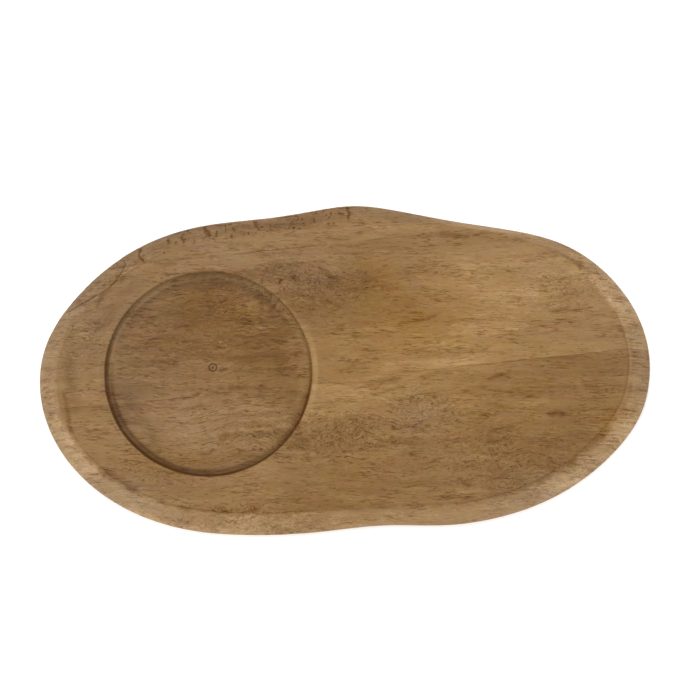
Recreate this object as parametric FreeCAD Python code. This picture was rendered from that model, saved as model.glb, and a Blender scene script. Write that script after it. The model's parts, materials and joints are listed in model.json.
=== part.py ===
import FreeCAD, Part
import math
import os

# A wooden chip and dip board: three edge-glued staves, cut to a free-form oval with a rounded rim and a
# round recess for a dip bowl. Millimetres, +X along the board away from the recess, +Y towards the back
# edge, +Z up. The origin is on the table, under the middle of the board.

Vector = FreeCAD.Vector
UP = Vector(0, 0, 1)
MIDDLE = Vector(0, 0, 0)

# Overall sizes
THICKNESS = 18.0
WIDEST_HEIGHT = 7.0

# The rim: a bevel over the top and a small undercut below. The bevel's fullness is a superellipse's exponent:
# 1 is a chamfer, 2 a quarter ellipse. Its width changes in two places: the direction from the middle of the
# board, how far to both sides the change reaches, both in degrees, and how much wider or narrower it gets.
BEVEL_WIDTH = 12.5
BEVEL_FULLNESS = 1.35
BEVEL_CHANGES = [(50.0, 33.0, -7.0), (-8.0, 45.0, 2.5)]
UNDERCUT_WIDTH = 5.0
UNDERCUT_TURN = 75.0

# The dip recess
RECESS_CENTRE = Vector(-84.5, -4.6, 0)
RECESS_RADIUS = 64.0
RECESS_DEPTH = 7.0
LIP_RADIUS = 1.2
COVE_RADIUS = 4.0

# The glue joints run along the grain, a little askew to the board. Each is placed where it crosses X = 0.
GRAIN_ANGLE = 6.1
FRONT_JOINT_Y = -8.0
BACK_JOINT_Y = 78.0

# The free-form oval at its widest height, counter-clockwise from the right-hand end
OUTLINE = [
    (189.5, 0.0), (183.0, 32.7), (163.7, 60.5), (136.0, 79.7), (103.7, 88.4), (65.0, 94.6), (26.7, 101.9),
    (4.0, 104.0), (-22.0, 100.4), (-50.0, 96.0), (-90.0, 91.0), (-130.8, 76.4), (-168.0, 45.5),
    (-188.0, 10.0), (-188.0, -24.0), (-168.0, -62.2), (-135.0, -87.5), (-98.6, -100.0), (-59.0, -103.5),
    (-15.0, -101.5), (22.9, -97.6), (62.0, -97.4), (91.6, -93.3), (132.7, -78.0), (165.5, -53.0),
    (184.5, -25.5),
]

# How finely the rim is built
RING_POINTS = 72
RINGS_BELOW = 4
RINGS_ABOVE = 8

# Room for the cutting tools around the board
REACH = 300.0
MARGIN = 5.0


def outline_curve():
    """The oval as one smooth closed curve."""
    curve = Part.BSplineCurve()
    curve.interpolate(Points=[Vector(x, y, 0) for x, y in OUTLINE], PeriodicFlag=True)
    return curve


def bevel_width(point):
    """How far in the bevel reaches beside a point of the oval."""
    direction = math.degrees(math.atan2(point.y, point.x))
    width = BEVEL_WIDTH
    for towards, spread, change in BEVEL_CHANGES:
        away = min(abs(direction - towards) / spread, 1)
        width += change * math.cos(away * math.pi / 2) ** 2
    return width


def ring(curve, undercut, bevel, height):
    """The oval at one height, drawn in by a share of the undercut's width and a share of the bevel's."""
    span = curve.LastParameter - curve.FirstParameter
    points = []
    for step in range(RING_POINTS):
        at = curve.FirstParameter + span * step / RING_POINTS
        along = curve.tangent(at)[0]
        inward = Vector(-along.y, along.x, 0)
        widest = curve.value(at)
        inset = undercut * UNDERCUT_WIDTH + bevel * bevel_width(widest)
        points.append(widest + inward * inset + UP * height)
    drawn_in = Part.BSplineCurve()
    drawn_in.interpolate(Points=points, PeriodicFlag=True)
    return Part.Wire(drawn_in.toShape())


def rim_rings():
    """The share of the undercut, the share of the bevel and the height of each ring: an elliptical arc up
    from the foot, which keeps a slight corner on the table, to the widest height, and a flatter quarter
    superellipse from there over to the flat top."""
    rings = []
    foot = math.radians(UNDERCUT_TURN)
    for step in range(RINGS_BELOW):
        turn = foot * (1 - step / RINGS_BELOW)
        undercut = (1 - math.cos(turn)) / (1 - math.cos(foot))
        rings.append((undercut, 0, WIDEST_HEIGHT * (1 - math.sin(turn) / math.sin(foot))))
    power = 2 / BEVEL_FULLNESS
    for step in range(RINGS_ABOVE):
        turn = math.pi / 2 * step / RINGS_ABOVE
        bevel = 1 - math.cos(turn) ** power
        rings.append((0, bevel, WIDEST_HEIGHT + (THICKNESS - WIDEST_HEIGHT) * math.sin(turn) ** power))
    rings.append((0, 1, THICKNESS))
    return rings


def blank():
    """The whole panel with its rounded rim and no recess, centred over the origin."""
    curve = outline_curve()
    panel = Part.makeLoft([ring(curve, *shares) for shares in rim_rings()], True, False)
    centre = panel.optimalBoundingBox().Center
    panel.translate(Vector(-centre.x, -centre.y, 0))
    return panel


def recess_cutter():
    """The space of the recess: a flat floor, a cove, a short upright wall and a rounded lip, turned about
    the recess's axis."""
    floor = THICKNESS - RECESS_DEPTH
    half = math.sqrt(0.5)
    cove_start = Vector(RECESS_RADIUS - COVE_RADIUS, 0, floor)
    cove_middle = cove_start + Vector(COVE_RADIUS * half, 0, COVE_RADIUS * (1 - half))
    cove_end = Vector(RECESS_RADIUS, 0, floor + COVE_RADIUS)
    lip_start = Vector(RECESS_RADIUS, 0, THICKNESS - LIP_RADIUS)
    lip_middle = lip_start + Vector(LIP_RADIUS * (1 - half), 0, LIP_RADIUS * half)
    lip_end = Vector(RECESS_RADIUS + LIP_RADIUS, 0, THICKNESS)
    above = UP * MARGIN
    edges = [
        Part.LineSegment(Vector(0, 0, floor), cove_start).toShape(),
        Part.Arc(cove_start, cove_middle, cove_end).toShape(),
        Part.LineSegment(cove_end, lip_start).toShape(),
        Part.Arc(lip_start, lip_middle, lip_end).toShape(),
        Part.LineSegment(lip_end, lip_end + above).toShape(),
        Part.LineSegment(lip_end + above, Vector(0, 0, THICKNESS) + above).toShape(),
        Part.LineSegment(Vector(0, 0, THICKNESS) + above, Vector(0, 0, floor)).toShape(),
    ]
    cutter = Part.Face(Part.Wire(edges)).revolve(MIDDLE, UP, 360)
    cutter.translate(RECESS_CENTRE)
    return cutter


def strip(low_y, high_y):
    """The slab of space between two glue joints, each given by where it crosses X = 0."""
    across = (high_y - low_y) * math.cos(math.radians(GRAIN_ANGLE))
    corner = Vector(-REACH, 0, -MARGIN)
    slab = Part.makeBox(2 * REACH, across, THICKNESS + 2 * MARGIN, corner)
    slab.rotate(MIDDLE, UP, GRAIN_ANGLE)
    slab.translate(Vector(0, low_y, 0))
    return slab


def make_staves():
    """The three staves, glued edge to edge and shaped together as one panel."""
    board = blank().cut(recess_cutter())
    edges = {
        "front_stave": (-REACH, FRONT_JOINT_Y),
        "middle_stave": (FRONT_JOINT_Y, BACK_JOINT_Y),
        "back_stave": (BACK_JOINT_Y, REACH),
    }
    return {name: board.common(strip(low, high)).Solids[0] for name, (low, high) in edges.items()}


os.makedirs("parts", exist_ok=True)
for name, stave in make_staves().items():
    stave.exportStep(f"parts/{name}.step")
    box = stave.BoundBox
    print(name, stave.isValid(), round(stave.Volume), box)
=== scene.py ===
import json
import math

import bmesh
import bpy
import numpy as np
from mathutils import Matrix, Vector, noise
from mathutils.bvhtree import BVHTree
from mathutils.geometry import delaunay_2d_cdt


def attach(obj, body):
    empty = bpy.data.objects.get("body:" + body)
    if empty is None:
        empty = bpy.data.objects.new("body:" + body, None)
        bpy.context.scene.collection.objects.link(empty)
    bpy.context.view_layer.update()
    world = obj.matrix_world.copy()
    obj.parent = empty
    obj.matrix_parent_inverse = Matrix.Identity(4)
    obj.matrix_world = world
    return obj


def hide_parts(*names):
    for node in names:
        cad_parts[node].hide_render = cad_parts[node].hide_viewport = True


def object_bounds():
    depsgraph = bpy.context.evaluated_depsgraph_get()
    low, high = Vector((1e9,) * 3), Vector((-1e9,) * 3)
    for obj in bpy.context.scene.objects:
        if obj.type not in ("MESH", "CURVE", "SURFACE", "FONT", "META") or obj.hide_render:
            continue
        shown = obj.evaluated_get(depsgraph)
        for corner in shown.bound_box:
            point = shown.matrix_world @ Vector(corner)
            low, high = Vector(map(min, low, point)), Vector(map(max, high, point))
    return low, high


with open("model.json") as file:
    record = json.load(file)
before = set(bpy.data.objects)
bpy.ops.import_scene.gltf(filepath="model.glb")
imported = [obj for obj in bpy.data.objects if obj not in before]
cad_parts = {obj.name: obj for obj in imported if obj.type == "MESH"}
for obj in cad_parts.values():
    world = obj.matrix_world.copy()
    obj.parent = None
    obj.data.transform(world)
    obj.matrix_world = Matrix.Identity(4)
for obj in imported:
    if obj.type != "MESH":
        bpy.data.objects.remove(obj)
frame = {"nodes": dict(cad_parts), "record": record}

cad_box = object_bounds()

MM = 0.001

# The board's own sizes, from the frame
HIGH = cad_box[1]
TOP = HIGH.z
HALF_LENGTH = HIGH.x
WIDEST_SHARE = 7 / 18
WIDEST = TOP * WIDEST_SHARE
SEAT = next(mount for mount in frame["record"]["mounts"] if mount["name"] == "dip_bowl_seat")
SEAT_CENTRE = Vector(SEAT["pos_m"])
SEAT_RADIUS = SEAT["dims"]["r_mm"] * MM
WALL_LENGTH = SEAT["dims"]["length_mm"] * MM
STAVES = ("back_stave", "middle_stave", "front_stave")

# How finely the board is meshed
SURVEY_POINTS = 2880
RIM_COLUMNS = 1500
ROWS_BELOW = 9
ROWS_ABOVE = 34
RIM_HARMONICS = 110
SEAT_COLUMNS = 760
TOP_SPACING = 1.25 * MM
FLOOR_SPACING = 1.15 * MM
FOOT_SPACING = 4.5 * MM
MARK_SPACING = 0.14 * MM
MARK_COLUMNS = 72

# The natural edge runs along the back, between these shares of the half length
NATURAL_FROM, NATURAL_TO = -0.98, 0.16

# Cracks across the natural edge: place as a share of the half length, how far in each starts and ends, its
# slope, and its half width and depth. Lengths are in millimetres
CRACKS = [
    (-0.682, 0.8, 13.0, 0.20, 0.95, 0.35), (-0.598, 3.0, 8.0, -0.30, 0.55, 0.15),
    (-0.535, 3.0, 11.0, 0.15, 0.60, 0.20), (-0.460, 0.8, 11.0, -0.12, 0.95, 0.35),
    (-0.385, 2.0, 8.0, 0.30, 0.55, 0.15), (-0.300, 1.5, 10.0, -0.20, 0.65, 0.20),
    (-0.160, 1.5, 7.0, 0.25, 0.55, 0.15), (0.012, 0.3, 11.5, 0.10, 1.05, 0.40),
]

# Pitted places on the natural edge: place as a share of the half length, and reach in millimetres
PITTED = [(-0.535, 8), (-0.430, 6), (-0.375, 6), (-0.290, 9), (-0.160, 8), (-0.060, 12)]

# The split-off facet of the natural edge: both ends as shares of the half length, its greatest width and how
# much lower it lies, in millimetres
FACET = (-0.925, -0.735, 11.5, 0.6)

# A shallow split beside the bevel at the left-hand end: its ends, half width and depth, in millimetres
SPLIT_FROM, SPLIT_TO = (-168.8, -39.0), (-173.6, -17.0)
SPLIT_HALF_WIDTH, SPLIT_DEPTH = 1.4, 0.2

# How deep the small pits, the facet's crease and the roughness of the natural edge are, how uneven the rim is
# and how deep the hollows of hand sanding, in millimetres
PIT_DEPTH, CREASE_DEPTH, ROUGH_DEPTH = 0.15, 0.3, 0.22
RIM_DEPTH, SANDED_DEPTH = 0.28, 0.05

# The burnt maker's mark in the recess: a plain ring with a dot in it
MARK_PLACE = SEAT_CENTRE.xy + Vector((2.5, 4.8)) * MM
MARK_RING = 2.35 * MM
MARK_LINE = 0.42 * MM
MARK_DOT = 0.8 * MM
MARK_DEPTH = 0.25 * MM
MARK_REACH = 4.2 * MM

# What is painted on the mesh for the wood's material to read
PAINTS = ("bevel", "natural", "crack", "ends", "mark", "painted_shade", "curl", "gold", "lean", "tone")

# Tone is 0 for the darkest wood and 1 for the palest. Painted light and shade on the bevel, partly its paler
# end grain:
# how much the bevel's tone differs from the top's, lighter at the front and the ends and darker at the back:
# direction from the board's middle and reach to both sides, in degrees, and the change
BEVEL_LIGHT_AND_END_GRAIN = [
    (182, 38, 0.09), (204, 22, 0.20), (222, 12, 0.10), (235, 16, 0.13), (262, 46, 0.14),
    (261, 9, -0.06), (298, 30, 0.10), (330, 26, 0.22), (345, 15, 0.13), (0, 20, 0.14),
    (15, 12, 0.18), (48, 34, 0.08), (66, 18, -0.11), (115, 50, -0.15), (166, 22, 0.02),
]

# Bands along the bevel: mostly painted highlights near the outline and painted shade along its inner border,
# with some paler and
# darker streaks of the wood: direction and reach in degrees, distance in from the outline and half width as
# shares of the bevel's width, and the change in tone
BEVEL_LIGHT_SHADE_AND_GRAIN_BANDS = [
    (-3, 24, 0.99, 0.05, -0.05), (-1, 24, 0.89, 0.07, 0.10), (17, 9, 0.90, 0.24, 0.16),
    (25, 8, 0.78, 0.11, -0.16), (205, 25, 0.96, 0.06, -0.06), (255, 48, 0.88, 0.11, 0.06),
    (236, 24, 1.00, 0.05, -0.04), (157, 13, 0.90, 0.06, 0.09), (157, 13, 0.99, 0.05, -0.07),
    (-17, 12, 0.78, 0.18, -0.08), (-28, 12, 0.20, 0.30, 0.12), (-28, 10, 0.85, 0.20, -0.06),
    (-11, 9, 0.10, 0.40, 0.09), (198, 8, 0.80, 0.30, 0.06), (207, 7, 0.30, 0.40, -0.07),
    (115, 18, 0.08, 0.22, 0.11), (182, 14, 0.00, 0.20, 0.07), (222, 20, 0.00, 0.30, 0.12),
    (262, 20, 0.00, 0.30, 0.10),
]

# Bands of painted shade and painted highlight round the recess's wall: shade in the cove and on the floor
# near the wall, highlights on the lip and the lit side of the wall: direction and reach to both sides in
# degrees, distance out from the wall and half width in millimetres, and the change in tone
SEAT_SHADE_AND_HIGHLIGHT_BANDS = [
    (240, 165, -0.8, 1.1, -0.28), (252, 74, -2.4, 2.3, -0.26), (38, 40, -1.8, 2.8, 0.15),
    (-36, 50, -2.3, 2.0, -0.11), (210, 60, 2.0, 0.6, -0.08), (212, 55, -3.8, 0.8, -0.08),
    (115, 95, -3.6, 4.8, -0.05), (3, 34, 2.4, 1.6, 0.15), (84, 16, 2.4, 0.9, 0.09),
    (145, 45, -1.4, 1.8, 0.15), (140, 40, 8.0, 4.0, -0.05), (0, 30, -4.5, 4.0, 0.08),
    (200, 34, -3.4, 1.6, -0.08), (-16, 24, -0.9, 1.0, -0.14), (238, 45, -14.0, 5.0, -0.05),
    (118, 22, -1.0, 2.5, 0.07), (172, 14, -4.5, 2.5, 0.06),
]

# Painted shade round the back of the recess, as an even, greyer olive band with fainter grain: direction and
# reach to both sides in degrees, how far it comes in from the wall in millimetres, and how much fainter its
# grain is
PAINTED_SHADE_BAND = (112, 80, 7.5, 0.8)

# Patches of lighter and darker wood on each stave: place and radii in millimetres, and the change in tone
STAVE_TONES = {"back_stave": 0.41, "middle_stave": 0.40, "front_stave": 0.385}
PATCHES = {
    "back_stave": [((110, 75), (40, 14), 0.07), ((-110, 78), (20, 6), -0.05)],
    "middle_stave": [
        ((100, 40), (30, 28), 0.13), ((50, 4), (46, 12), 0.13), ((128, 62), (40, 14), 0.07),
        ((-12, 50), (36, 16), -0.12), ((0, 26), (30, 12), -0.05), ((-150, 40), (26, 26), -0.03),
        ((150, 14), (30, 7), 0.05), ((-22, 38), (24, 9), -0.06), ((100, 46), (12, 14), -0.06),
        ((70, 56), (14, 12), 0.06), ((32, 76), (20, 6), -0.06), ((155, 33), (18, 12), 0.06),
        ((134, 51), (24, 6), 0.05), ((53, 4), (14, 5), -0.06), ((39, 45), (12, 9), -0.05),
        ((0, 21), (14, 6), 0.05), ((147, 56), (14, 7), 0.05),
    ],
    "front_stave": [
        ((2, -17), (34, 12), 0.13), ((130, -46), (44, 20), -0.05), ((150, 2), (34, 10), -0.08),
        ((20, -70), (60, 16), -0.06), ((-52, -68), (22, 7), 0.06), ((60, -30), (40, 12), 0.03),
        ((88, -43), (14, 6), -0.03), ((-18, -39), (24, 10), -0.04), ((98, -71), (20, 8), -0.07),
        ((21, -50), (12, 7), 0.07), ((56, -9), (30, 12), 0.07), ((-166, -16), (12, 12), -0.06),
        ((-22, -32), (7, 8), 0.07), ((-160, -18), (10, 7), -0.06), ((39, -31), (16, 6), -0.05),
        ((59, -51), (14, 7), 0.05), ((-28, -75), (12, 8), -0.05), ((3, -90), (30, 5), -0.05),
        ((140, -42), (14, 5), -0.06),
    ],
}
RECESS_PATCHES = [
    ((-80, 30), (48, 28), -0.13), ((-36, 0), (18, 40), -0.08), ((-96, -30), (34, 18), 0.07),
    ((-84, -62), (44, 10), -0.02), ((-120, -6), (26, 22), -0.08), ((-136, -17), (10, 12), -0.08),
    ((-96, -18), (24, 12), -0.04), ((-106, 40), (14, 12), -0.05), ((-56, 10), (16, 8), -0.06),
    ((-82, 16), (18, 6), 0.05), ((-66, -33), (16, 6), -0.05), ((-53, -20), (14, 5), 0.06),
]

# Streaks in the upper faces: both ends and half width in millimetres, and the change in tone
STREAKS = [
    ((12, -11), (34, -8), 1.0, -0.17), ((47, -6), (66, -4), 1.0, -0.14),
    ((6, -15), (32, -10), 0.9, -0.13), ((17, -18), (35, -13), 1.0, -0.15),
    ((34, 26), (55, 31), 1.2, -0.10), ((44, 29), (59, 33), 1.0, -0.09),
    ((89, -8), (97, -5), 1.1, -0.15), ((73, -16), (86, -13), 1.3, -0.12),
    ((124, -14), (142, -13), 1.0, -0.10), ((126, -30), (134, -30), 1.3, -0.24),
    ((134, -30), (140, -30), 0.9, -0.12), ((89, -41), (103, -38), 1.0, -0.12),
    ((88, -47), (93, -47), 1.4, -0.12), ((119, -63), (129, -63), 1.2, -0.10),
    ((-16, 62), (-4, 54), 1.0, -0.15), ((-12, 41), (-3, 37), 1.0, -0.12),
    ((12, 53), (19, 54), 1.2, -0.14), ((60, 84), (76, 82), 1.4, -0.13),
    ((-8, 75), (8, 75), 0.9, -0.09), ((-6, 71), (12, 71), 0.9, -0.09),
    ((-34, -50), (-26, -48), 3.0, -0.10), ((-73, 6), (-42, 7), 0.9, -0.12),
    ((-58, 9), (-24, 9), 0.8, -0.08), ((-100, -19), (-65, -13), 0.9, -0.10),
    ((-72, -12), (-49, -12), 0.8, -0.10), ((-69, 4), (-36, 4), 0.8, -0.09),
    ((-72, -40), (-33, -36), 0.9, 0.14), ((-66, -32), (-34, -32), 0.8, 0.12),
    ((-77, -43), (-50, -41), 0.8, -0.08), ((-48, 35), (-41, 43), 0.8, -0.14),
    ((-154, 37), (-150, 45), 1.2, -0.13), ((-150, 45), (-138, 54), 1.0, -0.09),
    ((-156, 42), (-142, 52), 1.0, 0.10), ((-118, 64), (-105, 63), 1.2, -0.10),
    ((-171, 3), (-167, -25), 4.5, -0.10), ((-12, 84), (28, 84), 3.5, 0.06),
    ((12, 8), (50, 6), 4.0, -0.06), ((20, -2), (94, 0), 4.0, 0.06),
    ((38, -20), (78, -20), 3.5, 0.06), ((16, -53), (31, -53), 4.0, 0.06),
    ((70, -79), (82, -79), 4.0, 0.06), ((-60, -86), (-47, -86), 4.0, 0.06),
    ((-106, -62), (-90, -64), 3.0, 0.07), ((106, 7), (130, 8), 3.0, 0.06),
    ((108, -24), (122, -24), 4.0, 0.07), ((70, 23), (110, 22), 4.0, 0.05),
    ((-50, 43), (-24, 35), 4.0, -0.07), ((-33, 18), (-33, -3), 4.0, 0.07),
    ((-133, -22), (-118, -46), 5.0, -0.06), ((-168, 11), (-156, 7), 5.0, -0.06),
    ((142, 54), (158, 50), 3.0, 0.07), ((92, -79), (113, -78), 4.0, -0.06),
    ((-146, -67), (-130, -77), 3.0, -0.09),
]

# Patches of golden wood, and with a negative share of greyer wood: place, radii and share
GOLDEN = [
    ((40, 28), (44, 26), 0.9), ((90, 30), (60, 40), 0.3), ((-150, 20), (50, 70), -0.7),
    ((-90, 85), (70, 20), -0.3), ((175, 0), (24, 70), -0.3), ((-84, 20), (50, 40), 0.3),
    ((-84, -24), (50, 34), -0.3), ((-106, -45), (20, 9), -0.5), ((-80, 70), (22, 10), -0.5),
    ((-165, 45), (16, 22), -0.5), ((-140, -80), (40, 16), -0.6), ((-66, 39), (16, 8), 0.4),
    ((50, -32), (16, 9), -0.9), ((165, -34), (12, 14), 0.7), ((5, -62), (26, 12), 0.4),
    ((20, 54), (16, 14), 0.5), ((-134, -17), (10, 14), -0.6), ((-30, 56), (34, 20), -0.6),
    ((0, -10), (40, 30), 0.4), ((0, -88), (80, 14), 0.4), ((95, -25), (70, 34), 0.5),
    ((-152, -24), (12, 20), 0.5), ((130, -80), (50, 22), -0.5), ((-112, -58), (34, 12), 0.7),
]

# Patches with a curled, rougher grain: place, radii and share
CURLS = [
    ((-17, 52), (30, 15), 1.0), ((-10, -42), (34, 16), 1.0), ((50, -27), (28, 12), 0.8),
    ((-60, 50), (24, 12), 0.6), ((140, 48), (30, 18), 0.6), ((-120, -66), (30, 12), 0.5),
    ((-90, 20), (40, 26), 0.5), ((-70, -38), (34, 16), 0.5), ((-160, 16), (16, 30), 0.4),
    ((95, -58), (46, 22), 0.7), ((-60, -99), (70, 9), 0.9),
]

# Patches where the grain leans across its usual way: place, radii and slope
LEANS = [
    ((-80, -38), (34, 20), 0.25), ((-9, -40), (26, 14), 0.22), ((48, -28), (26, 12), 0.18),
    ((-150, 40), (20, 20), 0.25), ((-14, 54), (26, 14), -0.20), ((-50, -99), (50, 9), 0.35),
]


def srgb(red, green, blue):
    """A linear colour from its 8-bit sRGB values."""
    shares = [value / 255 for value in (red, green, blue)]
    linear = [c / 12.92 if c <= 0.04045 else ((c + 0.055) / 1.055) ** 2.4 for c in shares]
    return (*linear, 1)


def smoothstep(low, high, values):
    """0 below low, 1 above high and a smooth rise between."""
    share = np.clip((values - low) / (high - low), 0, 1)
    return share * share * (3 - 2 * share)


def circle(count):
    """Flat directions all round, evenly spaced."""
    turns = np.arange(count) * 2 * math.pi / count
    return np.stack([np.cos(turns), np.sin(turns)], 1)


def distance(points, place):
    """How far each point is from a place, seen from above."""
    return np.linalg.norm(points[:, :2] - np.array(place[:2]), axis=1)


def bumps(points, size, seed):
    """Smooth noise from -1 to 1 at each point. size is the width of its bumps, one value or one per axis."""
    scaled = points / np.asarray(size, float) + 19.7 * seed
    return np.array([noise.noise(place) for place in scaled.reshape(-1, 3)]).reshape(points.shape[:-1])


def bell(away, half_width):
    """1 where away is 0, falling off smoothly to both sides."""
    return np.exp(-((away / half_width) ** 2))


def arc_share(points, centre, middle, reach):
    """1 in one direction from a centre, falling to 0 at reach degrees to both sides."""
    turn = np.degrees(np.arctan2(points[..., 1] - centre[1], points[..., 0] - centre[0]))
    away = np.abs((turn - middle + 180) % 360 - 180) / reach
    return np.cos(np.clip(away, 0, 1) * math.pi / 2) ** 2


def patches_at(points, patches):
    """The sum of soft oval patches with wavering borders, each with its place, radii and strength."""
    waver = 9 * MM * np.stack([bumps(points, 32 * MM, seed) for seed in (61, 62)], 1)
    total = np.zeros(len(points))
    for place, radii, strength in patches:
        away = (points[:, :2] + waver - np.array(place) * MM) / (np.array(radii) * MM)
        total += strength * np.exp(-(away**2).sum(1))
    return total


def leaning_at(points):
    """How far the grain is pushed across where it leans."""
    total = np.zeros(len(points))
    for patch in LEANS:
        total += (points[:, 0] - patch[0][0] * MM) * patches_at(points, [patch])
    return total


# ---------------------------------------------------------------- shape


def cad_surface():
    """All the staves' surfaces together, to cast rays at."""
    corners, faces = [], []
    for name in STAVES:
        mesh = frame["nodes"][name].data
        start = len(corners)
        corners.extend(vertex.co.copy() for vertex in mesh.vertices)
        faces.extend([start + index for index in face.vertices] for face in mesh.polygons)
    return BVHTree.FromPolygons(corners, faces)


def cast(surface, place, way, height):
    """Where a level ray first meets the board, as a flat point."""
    hit = surface.ray_cast(Vector((place[0], place[1], height)), Vector((way[0], way[1], 0)))[0]
    return hit.x, hit.y


def smooth_ring(ring, harmonics):
    """A closed ring of flat points with its finest ripples taken out."""
    spectrum = np.fft.fft(ring[:, 0] + 1j * ring[:, 1])
    order = np.abs(np.fft.fftfreq(len(ring), 1 / len(ring)))
    smoothed = np.fft.ifft(spectrum * bell(order, harmonics))
    return np.stack([smoothed.real, smoothed.imag], 1)


def inward_of(ring):
    """The level direction into the board at each point of a counter-clockwise ring."""
    along = np.roll(ring, -1, 0) - np.roll(ring, 1, 0)
    along /= np.linalg.norm(along, axis=1)[:, None]
    return np.stack([-along[:, 1], along[:, 0]], 1)


def natural_share(ring):
    """1 where a ring's points are on the natural edge, fading to 0 past its ends."""
    share = ring[:, 0] / HALF_LENGTH
    fades = smoothstep(NATURAL_FROM - 0.03, NATURAL_FROM + 0.06, share)
    fades *= 1 - smoothstep(NATURAL_TO - 0.14, NATURAL_TO, share)
    return fades * (ring[:, 1] > 0)


def widest_ring(surface):
    """The board's outline where it is widest, with its points closer together on the natural edge."""
    starts = [(way, way * 2 * HALF_LENGTH) for way in circle(SURVEY_POINTS)]
    survey = np.array([cast(surface, start, -way, WIDEST) for way, start in starts])
    survey = smooth_ring(survey, RIM_HARMONICS / 2)
    step = np.linalg.norm(np.roll(survey, -1, 0) - survey, axis=1)
    weight = step * (1 + 1.3 * natural_share(survey))
    run = np.concatenate([[0], np.cumsum(weight)])
    wanted = np.arange(RIM_COLUMNS) * run[-1] / RIM_COLUMNS
    closed = np.concatenate([survey, survey[:1]])
    return np.stack([np.interp(wanted, run, closed[:, axis]) for axis in (0, 1)], 1)


def rim_heights():
    """The heights of the rim's rows, from the foot to the edge of the flat top."""
    below = WIDEST * np.arange(ROWS_BELOW) / ROWS_BELOW
    turns = np.arange(ROWS_ABOVE + 1) * math.pi / 2 / ROWS_ABOVE
    above = WIDEST + (TOP - WIDEST) * np.sin(turns) ** 1.25
    return np.concatenate([below, above])


def rim_grid(surface, widest):
    """The rim as a grid of points, rows by columns, read off the CAD solids with level rays."""
    inward = inward_of(widest)
    start = widest - inward * 5 * MM
    rows = []
    for height in rim_heights():
        level = min(max(height, 0.02 * MM), TOP - 0.02 * MM)
        row = np.array([cast(surface, place, way, level) for place, way in zip(start, inward)])
        row = smooth_ring(row, RIM_HARMONICS)
        rows.append(np.column_stack([row, np.full(RIM_COLUMNS, height)]))
    return np.array(rows)


def grid_normals(grid):
    """The outward direction at each point of the rim's grid."""
    along = np.roll(grid, -1, 1) - np.roll(grid, 1, 1)
    across = np.cross(along, np.gradient(grid, axis=0))
    return across / np.linalg.norm(across, axis=2)[:, :, None]


def back_column(widest, share):
    """The rim column on the back edge at a share of the half length."""
    away = np.abs(widest[:, 0] - share * HALF_LENGTH) + (widest[:, 1] < 0) * HALF_LENGTH
    return int(np.argmin(away))


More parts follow.
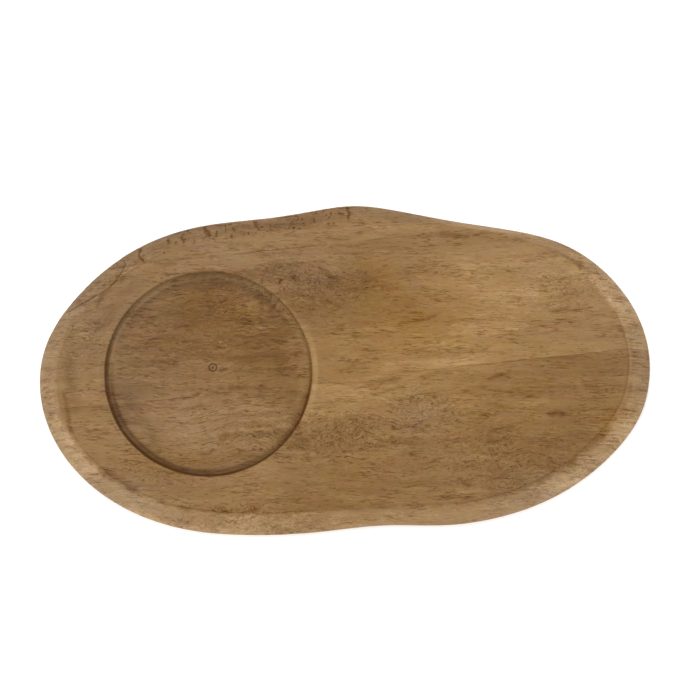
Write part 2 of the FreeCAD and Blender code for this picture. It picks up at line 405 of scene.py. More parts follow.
class Rim:
    """The rim's grid with what is known at each of its points."""

    def __init__(self, surface):
        self.widest = widest_ring(surface)
        self.grid = rim_grid(surface, self.widest)
        step = np.linalg.norm(np.roll(self.widest, -1, 0) - self.widest, axis=1)
        self.run = np.concatenate([[0], np.cumsum(step)[:-1]])[None, :]
        inset = np.linalg.norm(self.grid[:, :, :2] - self.widest[None], axis=2)
        self.inset = np.where(self.grid[:, :, 2] < WIDEST, -inset, inset)
        self.lift = (self.grid[:, :, 2] - WIDEST) / (TOP - WIDEST)
        self.natural = natural_share(self.widest)[None, :] * smoothstep(-0.5, -0.1, self.lift)
        self.crack = np.zeros(self.lift.shape)
        self.sink = np.zeros(self.lift.shape)

    def bumps(self, size, seed):
        """Smooth noise over the rim, whose bumps have a size in millimetres."""
        return bumps(self.grid, np.multiply(size, MM), seed)

    def add_crack(self, share, start, end, lean, half_width, depth):
        """A crack across the natural edge, from one inset to another, sunk in and painted darker: darker wood
        with painted shade in it.
        """
        place = self.run[0, back_column(self.widest, share)]
        wander = 2.4 * MM * self.bumps(5, 3)
        gap = np.abs(self.run - place - lean * self.inset - wander)
        width = half_width * MM * (1 + 0.7 * self.bumps(3, 5))
        span = smoothstep((start - 1.5) * MM, (start + 0.5) * MM, self.inset)
        span *= 1 - smoothstep((end - 2.5) * MM, end * MM, self.inset)
        line = bell(gap, width) * span
        self.crack = np.maximum(self.crack, line)
        self.sink += depth * MM * line

    def add_pits(self):
        """Small pits in the natural edge, in clusters, sunk in and painted darker: darker wood with painted
        shade in them.
        """
        cluster = np.full(self.run.shape, 0.12)
        for share, reach in PITTED:
            away = self.run - self.run[0, back_column(self.widest, share)]
            cluster = np.maximum(cluster, bell(away, reach * MM))
        across = self.bumps((1.9, 3.4, 2.6), 51) + 0.5 * self.bumps(1.3, 52)
        pits = smoothstep(0.66 - 0.44 * cluster, 0.90 - 0.40 * cluster, across) * self.natural
        self.crack = np.maximum(self.crack, 0.75 * pits)
        self.sink += PIT_DEPTH * MM * pits

    def add_facet(self, from_share, to_share, reach, drop):
        """A split-off facet of the natural edge: a lens against the outline, a little lower than the rest of
        the bevel, with a crease along its inner side, darkened with painted shade in and beside it."""
        ends = [self.run[0, back_column(self.widest, share)] for share in (to_share, from_share)]
        share = np.clip((self.run - ends[0]) / (ends[1] - ends[0]), 0, 1)
        bow = np.sin(math.pi * share**0.6) ** 0.7
        border = bow * (reach * MM + 1.2 * MM * self.bumps((12, 12, 40), 8))
        inside = smoothstep(-0.3 * MM, 0.5 * MM, border - self.inset) * (border > 0.3 * MM)
        inside *= smoothstep(-0.4, -0.05, self.lift)
        fade = smoothstep(0, 3 * MM, border)
        crease = bell(self.inset - border, 0.55 * MM) * fade
        beside = 0.35 * bell(self.inset - border + 2.2 * MM, 1.6 * MM) * fade
        self.sink += drop * MM * inside * fade + CREASE_DEPTH * MM * crease
        self.crack = np.maximum(self.crack, crease * (1.3 + 0.9 * self.bumps(6, 12)))
        self.crack = np.maximum(self.crack, beside * inside * (0.5 + 0.9 * self.bumps(3, 13)))

    def add_ripples(self):
        """The rough surface under the bark, and the unevenness of a rim shaped by hand."""
        rough = self.bumps((2.6, 5.0, 4.0), 21) + 0.5 * self.bumps(1.6, 22)
        self.sink += ROUGH_DEPTH * MM * self.natural * np.maximum(rough + 0.3, 0)
        broad = self.bumps(26, 31) + 0.6 * self.bumps(11, 32)
        self.sink += RIM_DEPTH * MM * np.maximum(broad + 0.9, 0)

    def end_grain(self):
        """Where the bevel cuts across the fibres: at the board's ends, mostly at the right."""
        facing = np.abs(inward_of(self.widest)[:, 0])[None, :]
        right = 0.65 + 0.35 * (self.widest[:, 0] > 0)[None, :]
        return smoothstep(0.25, 0.7, facing) * right * self.bevel() * smoothstep(-0.6, -0.1, self.lift)

    def bevel(self):
        """1 on the bevel, falling to 0 at its inner border."""
        waver = 0.16 * self.bumps(9, 44) + 0.10 * self.bumps(3, 45)
        return 1 - smoothstep(0.66, 0.98, self.inset / self.inset[-1:] + waver)

    def tone(self):
        """The bevel's painted light and shade, with its paler end grain: how much lighter or darker than the
        top it is, round the board.
        """
        total = np.zeros(self.lift.shape)
        for middle, reach, change in BEVEL_LIGHT_AND_END_GRAIN:
            total += change * arc_share(self.grid, (0, 0), middle, reach)
        total *= self.bevel()
        across = self.inset / self.inset[-1:]
        for middle, reach, share, half_width, change in BEVEL_LIGHT_SHADE_AND_GRAIN_BANDS:
            band = bell(across - share, half_width)
            total += change * band * arc_share(self.grid, (0, 0), middle, reach)
        return total

    def finished(self):
        """The grid with every mark pressed into it. Its first and last rows keep their heights."""
        edges = smoothstep(-0.64, -0.45, self.lift) * (1 - smoothstep(0.9985, 1.0, self.lift))
        edges *= 0.25 + 0.75 * smoothstep(0.2 * MM, 2.5 * MM, np.abs(self.inset))
        return self.grid - grid_normals(self.grid) * (self.sink * edges)[:, :, None]


class Sheet:
    """Points, faces and painted values of one mesh, put together from strips and filled areas."""

    def __init__(self):
        self.points = np.zeros((0, 3))
        self.faces = []
        self.paint = {name: np.zeros(0) for name in PAINTS}

    def add_points(self, points, **paint):
        """Adds points and returns the index of the first."""
        first = len(self.points)
        self.points = np.concatenate([self.points, points])
        for name, values in self.paint.items():
            extra = paint.get(name, np.zeros(len(points)))
            self.paint[name] = np.concatenate([values, np.asarray(extra, float)])
        return first

    def add_strip(self, grid, **paint):
        """A closed band of quads between the rows of a grid. Returns the first and the last row's indices."""
        rows, columns = grid.shape[:2]
        flat = {name: values.reshape(-1) for name, values in paint.items()}
        first = self.add_points(grid.reshape(-1, 3), **flat)
        index = first + np.arange(rows * columns).reshape(rows, columns)
        beside = np.roll(index, -1, 1)
        quads = np.stack([index[:-1], beside[:-1], beside[1:], index[1:]], 2).reshape(-1, 4)
        self.faces.extend(quads.tolist())
        return index[0], index[-1]

    def fill(self, loops, inner, height, upward=True, **paint):
        """Triangles over a level area, bounded by loops of points that are already here. A second loop is
        the round edge of a hole, so no triangle has all its corners there."""
        rim = np.concatenate(loops)
        flat = np.concatenate([self.points[rim, :2], inner])
        edges, start = [], 0
        for loop in loops:
            count = len(loop)
            edges.extend((start + i, start + (i + 1) % count) for i in range(count))
            start += count
        places = [Vector(place) for place in flat]
        found = delaunay_2d_cdt(places, edges, [], 4, 1e-9, True)
        first = self.add_points(np.column_stack([inner, np.full(len(inner), height)]), **paint)
        known = np.concatenate([rim, np.arange(first, first + len(inner))])
        names = [known[origin[0]] for origin in found[3]]
        hole = set(loops[1]) if len(loops) > 1 else set()
        for face in found[2]:
            corners = [names[i] for i in face]
            if not hole.issuperset(corners):
                self.faces.append(corners if upward else corners[::-1])


def within(points, ring):
    """Which flat points lie inside a ring."""
    inside = np.zeros(len(points), bool)
    ends = np.roll(ring, -1, 0)
    for (x0, y0), (x1, y1) in zip(ring, ends):
        if y0 == y1:
            continue
        crosses = (points[:, 1] < y0) != (points[:, 1] < y1)
        reach = x0 + (points[:, 1] - y0) * (x1 - x0) / (y1 - y0)
        inside ^= crosses & (points[:, 0] < reach)
    return inside


def honeycomb(ring, spacing, keep_off):
    """Evenly spaced points inside a ring, a little off it."""
    low, high = ring.min(0), ring.max(0)
    across, up = np.meshgrid(
        np.arange(low[0], high[0], spacing), np.arange(low[1], high[1], spacing * math.sqrt(0.75))
    )
    across[1::2] += spacing / 2
    points = np.stack([across.reshape(-1), up.reshape(-1)], 1)
    return points[within(points, ring + inward_of(ring) * keep_off)]


def mark_share(points):
    """1 in the burnt lines of the mark and 0 off them."""
    away = distance(points, MARK_PLACE)
    ring = 1 - smoothstep(MARK_LINE - 0.12 * MM, MARK_LINE + 0.16 * MM, np.abs(away - MARK_RING))
    dot = 1 - smoothstep(MARK_DOT - 0.12 * MM, MARK_DOT + 0.16 * MM, away)
    return np.maximum(ring, dot)


def mark_points():
    """Rings of points close together, where the mark is cut."""
    radii = np.arange(0.2 * MM, MARK_REACH, MARK_SPACING)
    return np.concatenate([np.array(MARK_PLACE) + circle(MARK_COLUMNS) * radius for radius in radii])


def seat_profile(floor):
    """Radius and height down the side of the recess: the lip, the wall and the cove."""
    wall_top, wall_foot = SEAT_CENTRE.z + WALL_LENGTH / 2, SEAT_CENTRE.z - WALL_LENGTH / 2
    lip, cove = TOP - wall_top, wall_foot - floor
    profile = []
    for turn in np.linspace(0, math.pi / 2, 7):
        profile.append((SEAT_RADIUS + lip * (1 - math.sin(turn)), wall_top + lip * math.cos(turn)))
    profile.append((SEAT_RADIUS, (wall_top + wall_foot) / 2))
    for turn in np.linspace(0, math.pi / 2, 11):
        profile.append((SEAT_RADIUS - cove * (1 - math.cos(turn)), wall_foot - cove * math.sin(turn)))
    return profile


def seat_grid(floor):
    """The side of the recess as a grid of points, from the lip down to the floor."""
    rows = []
    for radius, height in seat_profile(floor):
        ring = np.array(SEAT_CENTRE.xy) + radius * circle(SEAT_COLUMNS)
        rows.append(np.column_stack([ring, np.full(SEAT_COLUMNS, height)]))
    return np.array(rows)


def seat_painted_shade_and_highlights(points):
    """The painted shade and painted highlights round the recess's wall: how much lighter or darker it is
    there.
    """
    away = distance(points, SEAT_CENTRE) - SEAT_RADIUS
    wander = 0.5 * MM * bumps(points * (1, 1, 0), 14 * MM, 43)
    total = np.zeros(len(points))
    for middle, reach, offset, half_width, change in SEAT_SHADE_AND_HIGHLIGHT_BANDS:
        band = np.exp(-(((away + wander - offset * MM) / (half_width * MM)) ** 4))
        total += change * band * arc_share(points, SEAT_CENTRE, middle, reach)
    return total


def painted_shade_share(points):
    """How much painted shade, as even, greyer wood with fainter grain, lies round the back of the recess."""
    middle, reach, width, share = PAINTED_SHADE_BAND
    away = SEAT_RADIUS - distance(points, SEAT_CENTRE)
    border = width * MM - 1.5 * MM * bumps(points, 12 * MM, 46)
    inward = 1 - smoothstep(-1.5 * MM, 1.5 * MM, away - border)
    return share * inward * (away > -0.1 * MM) * arc_share(points, SEAT_CENTRE, middle, reach)


def line_share(points, start, end, half_width):
    """1 along a line on the upper faces and 0 off it. Its ends and half width are in millimetres."""
    start, end = np.array(start) * MM, np.array(end) * MM
    length = np.linalg.norm(end - start)
    way = (end - start) / length
    flat = points[:, :2] - start
    along = np.clip(flat @ way, 0, length)
    gap = np.linalg.norm(flat - along[:, None] * way, axis=1)
    return bell(gap, half_width * MM) * (points[:, 2] > WIDEST)


def split_share(points):
    """1 along the split at the left-hand end and 0 off it."""
    line = line_share(points, SPLIT_FROM, SPLIT_TO, SPLIT_HALF_WIDTH)
    return line * (0.75 + 0.5 * bumps(points * (1, 1, 0), 5 * MM, 14))


def streak_tone(points):
    """How much lighter or darker the wood is in its streaks, which waver and fade in places."""
    moved = points.copy()
    moved[:, 1] += 1.3 * MM * bumps(points * (1, 1, 0), (11 * MM, 6 * MM, MM), 71)
    total = np.zeros(len(points))
    for start, end, half_width, change in STREAKS:
        total += change * line_share(moved, start, end, half_width)
    return total * (0.9 + 0.6 * bumps(points * (1, 1, 0), (7 * MM, 3 * MM, MM), 72))


def sanded(points):
    """The slight hollows that sanding by hand leaves in the upper faces, as a drop in height."""
    flat = np.column_stack([points[:, :2], np.zeros(len(points))])
    drop = SANDED_DEPTH * MM * (1 + bumps(flat, (60 * MM, 22 * MM, 1), 41))
    return drop * smoothstep(WIDEST, TOP, points[:, 2])


def whole_board():
    """The finished board as one closed sheet, before it is parted along its glue joints."""
    surface = cad_surface()
    floor = surface.ray_cast(Vector((SEAT_CENTRE.x, SEAT_CENTRE.y, 2 * TOP)), Vector((0, 0, -1)))[0].z
    rim = Rim(surface)
    for crack in CRACKS:
        rim.add_crack(*crack)
    rim.add_pits()
    rim.add_facet(*FACET)
    rim.add_ripples()

    board = Sheet()
    paint = {"bevel": rim.bevel(), "natural": rim.natural, "crack": rim.crack}
    # The rim's tone holds the bevel's painted light and shade, with its paler end grain
    foot, edge = board.add_strip(rim.finished(), ends=rim.end_grain(), tone=rim.tone(), **paint)
    seat = seat_grid(floor)[:, ::-1]
    lip, base = board.add_strip(seat)

    flat = honeycomb(board.points[edge, :2], TOP_SPACING, 0.7 * MM)
    flat = flat[distance(flat, SEAT_CENTRE) > SEAT_RADIUS + TOP - SEAT_CENTRE.z]
    board.fill([edge, lip], flat, TOP)

    low = honeycomb(board.points[base[::-1], :2], FLOOR_SPACING, 0.6 * MM)
    low = low[distance(low, MARK_PLACE) > MARK_REACH + 0.4 * MM]
    low = np.concatenate([low, mark_points()])
    board.fill([base], low, floor, mark=mark_share(low))
    board.fill([foot], honeycomb(board.points[foot, :2], FOOT_SPACING, 1.5 * MM), 0, upward=False)

    # Painted shade and highlights round the recess's wall, the painted shade's even band at its back, and the
    # wood's streaks
    board.paint["tone"] += seat_painted_shade_and_highlights(board.points) + streak_tone(board.points)
    board.paint["painted_shade"] = painted_shade_share(board.points)
    split = split_share(board.points)
    # The split is painted darker: darker wood with painted shade in it
    board.paint["crack"] = np.maximum(board.paint["crack"], 0.7 * split)
    board.points[:, 2] -= SPLIT_DEPTH * MM * split
    board.points[:, 2] -= sanded(board.points) + MARK_DEPTH * board.paint["mark"]
    return board, floor


def to_mesh(board):
    """The sheet as a mesh with its painted values as attributes."""
    mesh = bpy.data.meshes.new("board")
    mesh.from_pydata(board.points.tolist(), [], board.faces)
    for name, values in board.paint.items():
        layer = mesh.attributes.new(name, "FLOAT", "POINT")
        layer.data.foreach_set("value", values.astype(np.float32))
    return mesh


def glue_face(stave):
    """A point on a stave's glue face and the direction that the face looks in. It is the stave's largest
    upright flat face."""
    mesh = frame["nodes"][stave].data
    areas, places = {}, {}
    for face in mesh.polygons:
        if abs(face.normal.z) < 0.001:
            way = (round(face.normal.x, 2), round(face.normal.y, 2))
            areas[way] = areas.get(way, 0) + face.area
            places[way] = (face.center.copy(), face.normal.copy())
    return places[max(areas, key=areas.get)]


def add_object(name, data):
    """A new object in the scene."""
    made = bpy.data.objects.new(name, data)
    bpy.context.scene.collection.objects.link(made)
    return made


def part_off(mesh, name, cuts):
    """One stave: the board cut along glue faces, each a point and the direction away from the stave."""
    work = bmesh.new()
    work.from_mesh(mesh)
    for place, way in cuts:
        parts = work.verts[:] + work.edges[:] + work.faces[:]
        cut = bmesh.ops.bisect_plane(
            work, geom=parts, dist=1e-7, plane_co=place, plane_no=way, clear_outer=True
        )
        open_edges = [part for part in cut["geom_cut"] if isinstance(part, bmesh.types.BMEdge)]
        filled = bmesh.ops.triangle_fill(work, edges=open_edges, use_beauty=True)
        new_faces = [part for part in filled["geom"] if isinstance(part, bmesh.types.BMFace)]
        for face in new_faces:
            if face.normal.dot(way) < 0:
                face.normal_flip()
    stave = bpy.data.meshes.new(name)
    work.to_mesh(stave)
    work.free()
    stave.shade_smooth()
    stave.set_sharp_from_angle(angle=math.radians(40))
    return add_object(name, stave)


def add_paint(mesh, name, values):
    """Adds values to one of the mesh's painted attributes."""
    layer = mesh.attributes[name].data
    known = np.zeros(len(layer), np.float32)
    layer.foreach_get("value", known)
    layer.foreach_set("value", (known + values).astype(np.float32))


def paint_figure(mesh, name, floor):
    """Paints one stave's own figure: its lighter, darker, golden, curled and leaning patches."""
    points = np.zeros(len(mesh.vertices) * 3, np.float32)
    mesh.vertices.foreach_get("co", points)
    points = points.reshape(-1, 3).astype(float)
    flat = points * (1, 1, 0)
    low = (distance(flat, SEAT_CENTRE) < SEAT_RADIUS) * smoothstep(TOP, (TOP + floor) / 2, points[:, 2])
    tone = STAVE_TONES[name] + patches_at(flat, PATCHES[name]) * (1 - low)
    tone += patches_at(flat, RECESS_PATCHES) * low
    add_paint(mesh, "tone", tone)
    add_paint(mesh, "gold", np.clip(patches_at(flat, GOLDEN), -1, 1))
    add_paint(mesh, "curl", np.clip(patches_at(flat, CURLS), 0, 1))
    add_paint(mesh, "lean", leaning_at(flat))


def make_staves():
    """The three staves, parted where the CAD staves meet."""
    board, floor_height = whole_board()
    mesh = to_mesh(board)
    front_place, front_way = glue_face("front_stave")
    back_place, back_way = glue_face("back_stave")
    cuts = {
        "front_stave": [(front_place, front_way)],
        "middle_stave": [(front_place, -front_way), (back_place, -back_way)],
        "back_stave": [(back_place, back_way)],
    }
    for name in STAVES:
        piece = part_off(mesh, name + "_wood", cuts[name])
        piece.data.materials.append(make_wood(name, cuts[name]))
        paint_figure(piece.data, name, floor_height)
        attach(piece, "root")
        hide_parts(name)
    bpy.data.meshes.remove(mesh)


# ---------------------------------------------------------------- wood


class Graph:
    """A material's nodes, made and linked by short calls."""

    def __init__(self, name):
        self.material = bpy.data.materials.new(name)
        self.material.use_nodes = True
        self.tree = self.material.node_tree
        self.shader = self.tree.nodes["Principled BSDF"]

    def node(self, kind, inputs=(), **settings):
        """A node with its settings, and its inputs set by name to values or to other nodes' outputs."""
        made = self.tree.nodes.new("ShaderNode" + kind)
        for name, value in settings.items():
            setattr(made, name, value)
        for name, value in dict(inputs).items():
            self.feed(made.inputs[name], value)
        return made

    def feed(self, socket, value):
        """Links or sets one socket."""
        if isinstance(value, bpy.types.NodeSocket):
            self.tree.links.new(value, socket)
        else:
            socket.default_value = value

    def shade(self, inputs):
        """Sets the shader's sockets by name to values or to nodes' outputs."""
        for name, value in inputs.items():
            self.feed(self.shader.inputs[name], value)

    def math(self, operation, first, second=0.0):
        return self.node("Math", {0: first, 1: second}, operation=operation).outputs[0]

    def times(self, first, second):
        return self.math("MULTIPLY", first, second)

    def plus(self, value, other, share):
        """A value and a share of another."""
        return self.math("ADD", value, self.times(other, share))

    def vector(self, operation, first, second):
        return self.node("VectorMath", {0: first, 1: second}, operation=operation).outputs[0]

    def step(self, low, high, value):
        """smoothstep in nodes."""
        inputs = {"Value": value, "From Min": low, "From Max": high}
        return self.node("MapRange", inputs, interpolation_type="SMOOTHSTEP").outputs[0]

    def mix(self, share, first, second):
        """A colour between two."""
        return self.node("Mix", {0: share, 6: first, 7: second}, data_type="RGBA").outputs[2]

    def place(self, vector, size, offset=(0, 0, 0)):
        """Coordinates in which a length of size, in millimetres, is 1 along each axis."""
        scale = tuple(1 / (MM * side) for side in size)
        return self.node("Mapping", {0: vector, 1: offset, 3: scale}).outputs[0]

    def noise(self, vector, size, detail=2.0, roughness=0.5, offset=(0, 0, 0)):
        """Noise from 0 to 1 whose patches have a size in millimetres along each axis."""
        inputs = {"Vector": self.place(vector, size, offset), "Detail": detail, "Roughness": roughness}
        return self.node("TexNoise", {**inputs, "Scale": 1.0}).outputs["Fac"]

    def swing(self, *noise_settings):
        """The same noise, round zero."""
        return self.math("SUBTRACT", self.noise(*noise_settings), 0.5)

    def attribute(self, name):
        return self.node("Attribute", attribute_name=name).outputs["Fac"]


# The wood's colour at each tone
WOOD_COLOURS = [
    (0.00, srgb(74, 46, 18)),
    (0.25, srgb(108, 77, 41)),
    (0.50, srgb(143, 112, 74)),
    (0.75, srgb(178, 147, 108)),
    (1.00, srgb(212, 181, 143)),
]
BURNT = srgb(70, 45, 24)

# Layers of grain: length along it, width across it and depth in millimetres, detail, and share in the tone
GRAIN_LAYERS = [
    ((95, 15, 30), 3.0, 0.26),
    ((50, 5, 14), 4.0, 0.30),
    ((14, 1.5, 6), 3.0, 0.17),
    ((5, 0.9, 4.0), 3.0, 0.18),
    ((1.5, 0.7, 2.5), 2.0, 0.12),
]

# How strongly the grain shows: everywhere, and how much more in curled and in busy patches. That is
# multiplied by its strength in the darkest wood and how much it gains up to the palest
PLAIN_STRENGTH, CURLED_STRENGTH, BUSY_STRENGTH = 0.56, 0.5, 0.55
DARK_STRENGTH, TONE_STRENGTH = 0.5, 1.2

# The sizes of the wood's other marks and patches, in millimetres as above
BUSY_SIZE = (24, 9, 9)
PORE_SIZE = (6.5, 0.75, 4.0)
FLECK_SIZE = (4.5, 0.85, 3.0)
LINE_SIZE = (24, 2.4, 3)
WAVY_SIZE = (6, 1.7, 2.5)
FIBRE_SIZE = (45, 1.9, 70)
FIBRE_GAPS = (7, 3.5, 30)
BLOTCH_SIZE = (4.5, 6, 6)
HUE_SIZE = (18, 7, 9)
RICH_SIZE = (9, 4.5, 6)
WORN_SIZE = (35, 20, 20)

# The noise levels between which marks set in. Pores also set in earlier in busy and in curled patches
BUSY_LEVELS, FLECK_LEVELS, LINE_LEVELS, FIBRE_LEVELS = (0.36, 0.64), (0.63, 0.70), (0.44, 0.58), (0.40, 0.58)
PORE_LEVEL, BUSY_PORES, CURLED_PORES, PORE_SOFTNESS = 0.75, -0.24, -0.03, 0.03

# How much each mark changes the tone where it shows fully
PORE_TONE, FLECK_TONE = -0.13, 0.06
LINE_TONE, WAVY_TONE, FIBRE_TONE = -0.14, -0.20, -0.20
# The cracks, pits, creases and split darken with darker wood and painted shade in them
BLOTCH_TONE, CRACK_SHADE_TONE, GLUE_TONE = 0.20, -0.24, -0.13

# How much what is painted, and chance, change the colour's strength, and how much chance and the painted
# shade round the back of the recess turn its hue
RICHNESS = {"gold": 0.10, "bevel": -0.04, "crack": 0.12, "painted_shade": -0.05}
CHANCE_RICHNESS, CHANCE_HUE, PAINTED_SHADE_HUE = 0.16, 0.035, 0.004
BURNT_SHARE = 0.8

# The satin oil: its roughness, how much wear, pores and the natural edge add to it, and its specular level
OIL_ROUGHNESS, WORN_ROUGHNESS, PORE_ROUGHNESS, NATURAL_ROUGHNESS = 0.46, 0.16, 0.12, 0.10
OIL_SPECULAR = 0.12

# How high the finest grain, the pores and the blotches stand in the relief, as shares of its height
RELIEF_HEIGHT, RELIEF_STRENGTH = 0.14 * MM, 0.6
GRAIN_RELIEF, PORE_RELIEF, BLOTCH_RELIEF = 0.8, -0.6, 0.8

# Each stave's place in the log, in millimetres, and how its grain turns from the board's length, in degrees
LOG_PLACES = {
    "back_stave": ((410, 930, 120), 1.0),
    "middle_stave": ((-620, 210, 470), 0.5),
    "front_stave": ((240, -560, 810), 0.0),
}

# How the grain bends and twists: the size of the bends in millimetres, how far they push it along each axis,
# and how much of the twist there is outside the curled patches
BEND_SIZE, BEND_REACH = (90, 30, 40), (0, 9 * MM, 6 * MM)
TWIST_SIZE, TWIST_REACH = (9, 5, 5), (0, 12 * MM, 6 * MM)
TWIST_EVERYWHERE = 0.12


def centred_noise(graph, vector, size, detail, seed):
    """Vector noise round zero, whose patches have a size in millimetres along each axis."""
    inputs = {"Vector": graph.place(vector, size, (seed, 0, 0)), "Scale": 1.0, "Detail": detail}
    colour = graph.node("TexNoise", inputs).outputs["Color"]
    return graph.vector("SUBTRACT", colour, (0.5, 0.5, 0.5))


def shifted(graph, vector, push, reach):
    """A vector moved by another, scaled by a length along each axis."""
    return graph.vector("ADD", vector, graph.vector("MULTIPLY", push, reach))


def grain_coordinates(graph, name, here, paint):
    """The wood's own coordinates: X along the grain, shifted to the stave's place in the log, gently bent as
    real grain is, and twisted in the curled patches."""
    cut, turn = LOG_PLACES[name]
    moves = {0: here, 1: tuple(side * MM for side in cut), 2: (0, 0, -math.radians(turn))}
    turned = graph.node("Mapping", moves).outputs[0]
    bent = shifted(graph, turned, centred_noise(graph, turned, BEND_SIZE, 2.0, 3), BEND_REACH)
    lean = graph.node("CombineXYZ", {1: paint["lean"]}).outputs[0]
    bent = graph.vector("SUBTRACT", bent, lean)
    twist = centred_noise(graph, bent, TWIST_SIZE, 3.0, 7)
    share = graph.math("ADD", paint["curl"], TWIST_EVERYWHERE)
    pushed = graph.node("VectorMath", {0: twist, "Scale": share}, operation="SCALE").outputs[0]
    return shifted(graph, bent, pushed, TWIST_REACH)


def dark_lines(graph, vector, size, detail, width, offset):
    """Thin lines that wander along the grain."""
    level = graph.noise(vector, size, detail, 0.55, offset)
    away = graph.math("ABSOLUTE", graph.math("SUBTRACT", level, 0.5))
    return graph.step(width, width * 0.25, away)


def grain_strength(graph, paint, busy):
    """How strongly the grain shows: more in the curled and busy patches, less in dark wood and in the painted
    shade round the back of the recess.
    """
    strength = graph.plus(PLAIN_STRENGTH, paint["curl"], CURLED_STRENGTH)
    strength = graph.plus(strength, graph.step(*BUSY_LEVELS, busy), BUSY_STRENGTH)
    strength = graph.times(strength, graph.plus(DARK_STRENGTH, paint["tone"], TONE_STRENGTH))
    return graph.times(strength, graph.math("SUBTRACT", 1.0, paint["painted_shade"]))


def add_grain(graph, wood, tone, strength):
    """The tone with every layer of grain in it, and the finest layer."""
    for place, (size, detail, share) in enumerate(GRAIN_LAYERS):
        layer = graph.swing(wood, size, detail, 0.6, (place, 2, 5))
        tone = graph.plus(tone, graph.times(layer, share), strength)
    return tone, layer


def open_pores(graph, wood, paint, busy):
    """Short dark dashes along the grain, more of them in the busy and curled patches."""
    limit = graph.plus(graph.plus(PORE_LEVEL, busy, BUSY_PORES), paint["curl"], CURLED_PORES)
    dashes = graph.math("SUBTRACT", graph.noise(wood, PORE_SIZE, 1.0, 0.5, (2, 5, 4)), limit)
    return graph.step(0.0, PORE_SOFTNESS, dashes)


def pale_flecks(graph, wood):
    """Short pale flecks along the grain."""
    return graph.step(*FLECK_LEVELS, graph.noise(wood, FLECK_SIZE, 1.0, 0.5, (7, 3, 9)))


def straight_lines(graph, wood, busy):
    """Fine dark lines along the grain, in the busy patches."""
    lines = dark_lines(graph, wood, LINE_SIZE, 2.0, 0.030, (2, 5, 4))
    return graph.times(lines, graph.step(*LINE_LEVELS, busy))


def wavy_lines(graph, wood, paint):
    """Wavier lines in the curled patches."""
    return graph.times(dark_lines(graph, wood, WAVY_SIZE, 2.0, 0.045, (6, 1, 9)), paint["curl"])


def cut_fibres(graph, here, paint):
    """The dark lines of fibres that the bevel cuts across at the board's ends."""
    fibres = dark_lines(graph, here, FIBRE_SIZE, 1.0, 0.06, (4, 4, 4))
    fibres = graph.times(fibres, graph.step(*FIBRE_LEVELS, graph.noise(here, FIBRE_GAPS)))
    return graph.times(fibres, paint["ends"])


def glue_line(graph, here, place, way):
    """A broken hairline along a glue joint, given by a point and its direction."""
    off = graph.vector("SUBTRACT", here, place)
    gap = graph.node("VectorMath", {0: off, 1: way}, operation="DOT_PRODUCT").outputs["Value"]
    line = graph.step(0.6 * MM, 0.15 * MM, graph.math("ABSOLUTE", gap))
    broken = graph.step(0.42, 0.62, graph.noise(here, (28, 28, 28), 2.0, 0.5, (3, 1, 7)))
    return graph.times(line, broken)


def wood_colour(graph, wood, paint, tone):
    """The colour at a tone, golder or greyer from patch to patch, and burnt in the mark."""
    steps = graph.node("ValToRGB", {0: tone})
    ramp = steps.color_ramp
    while len(ramp.elements) < len(WOOD_COLOURS):
        ramp.elements.new(0.5)
    for element, (place, colour) in zip(ramp.elements, WOOD_COLOURS):
        element.position = place
        element.color = colour
    richness = 1.0
    for kind, share in RICHNESS.items():
        richness = graph.plus(richness, paint[kind], share)
    richness = graph.plus(richness, graph.swing(wood, RICH_SIZE, 2.0, 0.5, (9, 2, 3)), CHANCE_RICHNESS)
    turn = graph.times(graph.swing(wood, HUE_SIZE, 3.0, 0.6, (5, 5, 5)), CHANCE_HUE)
    hue = graph.math("ADD", 0.5, graph.plus(turn, paint["painted_shade"], PAINTED_SHADE_HUE))
    inputs = {"Hue": hue, "Saturation": richness, "Color": steps.outputs[0]}
    tinted = graph.node("HueSaturation", inputs).outputs[0]
    return graph.mix(graph.times(paint["mark"], BURNT_SHARE), tinted, BURNT)


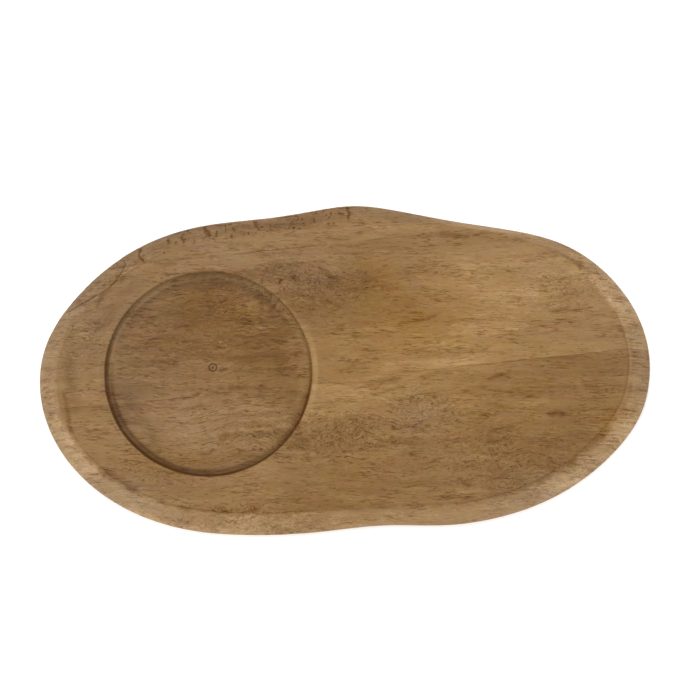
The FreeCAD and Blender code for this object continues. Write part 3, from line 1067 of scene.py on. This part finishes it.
def make_wood(name, joints):
    """Oiled, sanded hardwood for one stave, whose glue joints are points and directions."""
    graph = Graph(name + "_oiled_wood")
    paint = {kind: graph.attribute(kind) for kind in PAINTS}
    here = graph.node("TexCoord").outputs["Object"]
    wood = grain_coordinates(graph, name, here, paint)
    busy = graph.noise(wood, BUSY_SIZE, 2.0, 0.5, (8, 8, 1))
    # The painted tone also carries painted light and shade on the bevel and round the recess
    tone, finest = add_grain(graph, wood, paint["tone"], grain_strength(graph, paint, busy))

    pores = open_pores(graph, wood, paint, busy)
    tone = graph.plus(tone, pores, PORE_TONE)
    tone = graph.plus(tone, pale_flecks(graph, wood), FLECK_TONE)
    tone = graph.plus(tone, straight_lines(graph, wood, busy), LINE_TONE)
    tone = graph.plus(tone, wavy_lines(graph, wood, paint), WAVY_TONE)
    tone = graph.plus(tone, cut_fibres(graph, here, paint), FIBRE_TONE)
    blotches = graph.times(graph.swing(here, BLOTCH_SIZE, 3.0, 0.6), paint["natural"])
    tone = graph.plus(tone, blotches, BLOTCH_TONE)
    # Darker in the cracks, pits, creases and split: darker wood with painted shade in them
    tone = graph.plus(tone, paint["crack"], CRACK_SHADE_TONE)
    for place, way in joints:
        tone = graph.plus(tone, glue_line(graph, here, place, way), GLUE_TONE)

    # Satin oil, duller in the pores and on the natural edge
    dull = graph.plus(graph.times(pores, PORE_ROUGHNESS), paint["natural"], NATURAL_ROUGHNESS)
    dull = graph.plus(dull, graph.noise(here, WORN_SIZE, 3.0, 0.6, (1, 6, 2)), WORN_ROUGHNESS)

    # Fine relief of the grain, the pores and the blotches
    relief = graph.plus(graph.times(finest, GRAIN_RELIEF), pores, PORE_RELIEF)
    relief = graph.plus(relief, blotches, BLOTCH_RELIEF)
    bump = {"Height": relief, "Distance": RELIEF_HEIGHT, "Strength": RELIEF_STRENGTH}
    graph.shade({
        "Base Color": wood_colour(graph, wood, paint, tone),
        "Roughness": graph.math("ADD", dull, OIL_ROUGHNESS),
        "Specular IOR Level": OIL_SPECULAR,
        "Normal": graph.node("Bump", bump).outputs[0],
    })
    return graph.material


# ---------------------------------------------------------------- stage


# The plain table's half width in metres, and how much light it gives off
FLOOR_REACH, FLOOR_GLOW = 6, 0.25

# Soft lamps, aimed at the board: place and side length in metres, and power in watts
LAMPS = {
    "front_box": ((-0.7, -1.4, 1.2), 0.9, 15),
    "back_box": ((0.1, 1.6, 1.3), 0.7, 16),
    "overhead_box": ((0.0, 0.3, 2.2), 1.2, 10),
}
SKY_STRENGTH = 0.75

# The camera: degrees above the table, half the width it sees, how far behind the middle it aims, and its lens
# and sensor in millimetres
CAMERA_ELEVATION = 80
HALF_VIEW = 213.5 * MM
AIM_BEHIND = 13.1 * MM
LENS, SENSOR = 150, 36


def make_floor():
    """A plain pale table, well past the camera's view."""
    work = bmesh.new()
    bmesh.ops.create_grid(work, x_segments=4, y_segments=4, size=FLOOR_REACH)
    mesh = bpy.data.meshes.new("floor")
    work.to_mesh(mesh)
    work.free()
    graph = Graph("pale_floor")
    graph.shade({
        "Base Color": (0.9, 0.9, 0.9, 1),
        "Roughness": 0.9,
        "Specular IOR Level": 0.1,
        "Emission Color": (1, 1, 1, 1),
        "Emission Strength": FLOOR_GLOW,
    })
    mesh.materials.append(graph.material)
    floor = add_object("floor", mesh)


def add_light(name, place, size, power):
    """A square soft light aimed at the board."""
    light = bpy.data.lights.new(name, "AREA")
    light.shape = "SQUARE"
    light.size = size
    light.energy = power
    lamp = add_object(name, light)
    lamp.location = place
    lamp.rotation_euler = (-Vector(place)).to_track_quat("-Z", "Y").to_euler()


def light_stage():
    """Soft white light from all round, and soft lamps at the front left, behind and overhead."""
    world = bpy.data.worlds.new("studio")
    world.use_nodes = True
    world.node_tree.nodes["Background"].inputs["Color"].default_value = (1, 1, 1, 1)
    world.node_tree.nodes["Background"].inputs["Strength"].default_value = SKY_STRENGTH
    bpy.context.scene.world = world
    for name, (place, size, power) in LAMPS.items():
        add_light(name, place, size, power)


def make_camera():
    """A long lens looking down steeply from the front."""
    elevation = math.radians(CAMERA_ELEVATION)
    camera = bpy.data.cameras.new("camera")
    camera.lens = LENS
    camera.sensor_width = SENSOR
    distance = HALF_VIEW / (SENSOR / 2 / LENS)
    looker = add_object("camera", camera)
    aim = Vector((0, AIM_BEHIND, TOP))
    back = Vector((0, -math.cos(elevation), math.sin(elevation)))
    looker.location = aim + back * distance
    looker.rotation_euler = (-back).to_track_quat("-Z", "Y").to_euler()
    camera.clip_end = 20
    bpy.context.scene.camera = looker
    bpy.context.scene.view_settings.view_transform = "Standard"


make_camera()
light_stage()
make_floor()
make_staves()
